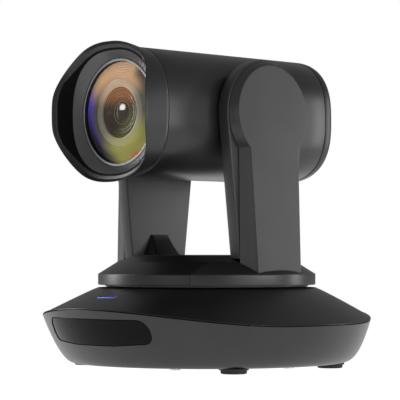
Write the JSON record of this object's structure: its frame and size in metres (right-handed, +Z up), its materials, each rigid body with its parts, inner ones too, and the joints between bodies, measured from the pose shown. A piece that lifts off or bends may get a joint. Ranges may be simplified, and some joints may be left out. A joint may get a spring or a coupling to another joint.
{
  "type": "ptz camera",
  "caption": "Desktop pan-tilt-zoom camera: a round base, a turntable with a two-armed yoke, and a squared barrel head with a hooded lens.",
  "frame": {"origin": "where the pan axis meets the surface that the feet stand on", "axes": "+Z up along the pan axis; the lens looks along -Y and +X is on its left side as the lens sees it"},
  "size_m": [0.17, 0.17, 0.1641],
  "materials": {
    "shell_black": "fine satin moulding",
    "arm_grey": "fine satin moulding",
    "gloss_black": "polished",
    "plain_black": "matt",
    "lens_glass": "coated",
    "steel_sheet": "plated sheet",
    "bright_steel": "bright plated",
    "cast_aluminium": "machined",
    "motor_black": "black coated",
    "brass": "turned",
    "rubber": "matt",
    "circuit_board": "solder mask",
    "blue_light": "clear, lit",
    "white_plastic": "plain"
  },
  "bodies": {
    "base": {"lower_shell": "shell_black", "base_top_cover": "shell_black", "bottom_plate": "steel_sheet", "tripod_insert": "brass", "rubber_feet": "rubber", "ir_window": "gloss_black", "status_light_pipe": "blue_light", "led_board": "circuit_board", "base_chassis": "steel_sheet", "main_board": "circuit_board", "connector_bay": "plain_black", "connector_panel": "plain_black", "dc_jack": "plain_black", "audio_jack": "plain_black", "usb_port": "bright_steel", "hdmi_port": "bright_steel", "lan_port": "bright_steel", "sdi_connector": "bright_steel", "serial_socket": "plain_black", "selector_switch": "plain_black", "pan_motor": "motor_black", "pan_belt": "rubber", "pan_bearing_outer": "bright_steel", "pan_bearing_balls": "bright_steel", "base_screws": "bright_steel"},
    "selector_dial": {"selector_dial": "white_plastic"},
    "pan_motor_pulley": {"pan_motor_pulley": "cast_aluminium"},
    "turntable": {"pan_bearing_inner": "bright_steel", "pan_hub": "cast_aluminium", "pan_pulley": "cast_aluminium", "hub_retaining_ring": "bright_steel", "turntable_frame": "plain_black", "turntable_cover": "gloss_black", "turntable_side_left": "shell_black", "turntable_side_right": "shell_black", "arm_frame_left": "arm_grey", "arm_frame_right": "arm_grey", "arm_shell_left": "arm_grey", "arm_shell_right": "arm_grey", "arm_screws": "bright_steel", "tilt_motor": "motor_black", "tilt_belt": "rubber", "tilt_bearing_left": "bright_steel", "tilt_bearing_right": "bright_steel"},
    "tilt_motor_pulley": {"tilt_motor_pulley": "cast_aluminium"},
    "head": {"tilt_pulley": "cast_aluminium", "tilt_shaft_left": "cast_aluminium", "tilt_shaft_right": "cast_aluminium", "head_barrel": "shell_black", "front_hood": "shell_black", "front_bezel": "gloss_black", "lens_ring": "plain_black", "front_glass": "lens_glass", "lens_baffle": "gloss_black", "rear_cap": "shell_black", "lens_tube": "plain_black", "sensor_board": "circuit_board", "head_chassis": "steel_sheet"},
    "zoom_group": {"zoom_group": "lens_glass"},
    "focus_group": {"focus_group": "lens_glass"}
  },
  "joints": [
    {"name": "pan", "type": "hinge", "parent": "base", "child": "turntable", "pos_m": [0, 0, 0.0416], "axis": [0, 0, 1], "range_deg": [-170, 170]},
    {"name": "tilt", "type": "hinge", "parent": "turntable", "child": "head", "pos_m": [0, 0, 0.129], "axis": [-1, 0, 0], "range_deg": [-30, 90]},
    {"name": "pan_motor_shaft", "type": "hinge", "parent": "base", "child": "pan_motor_pulley", "pos_m": [0, -0.046, 0.03], "axis": [0, 0, 1], "range_deg": [-505, 505]},
    {"name": "tilt_motor_shaft", "type": "hinge", "parent": "turntable", "child": "tilt_motor_pulley", "pos_m": [0.0399, 0, 0.073], "axis": [-1, 0, 0], "range_deg": [-90, 265]},
    {"name": "zoom_travel", "type": "slide", "parent": "head", "child": "zoom_group", "axis": [0, 1, 0], "range_m": [0, 0.02]},
    {"name": "focus_travel", "type": "slide", "parent": "head", "child": "focus_group", "axis": [0, 1, 0], "range_m": [-0.004, 0.006]},
    {"name": "selector_turn", "type": "hinge", "parent": "base", "child": "selector_dial", "pos_m": [-0.04, 0.008, 0.006], "axis": [0, 0, 1], "continuous": true}
  ],
  "couplings": [
    {"joint": "pan_motor_shaft", "follows": "pan", "ratio": 2.9355},
    {"joint": "tilt_motor_shaft", "follows": "tilt", "ratio": 2.913}
  ]
}
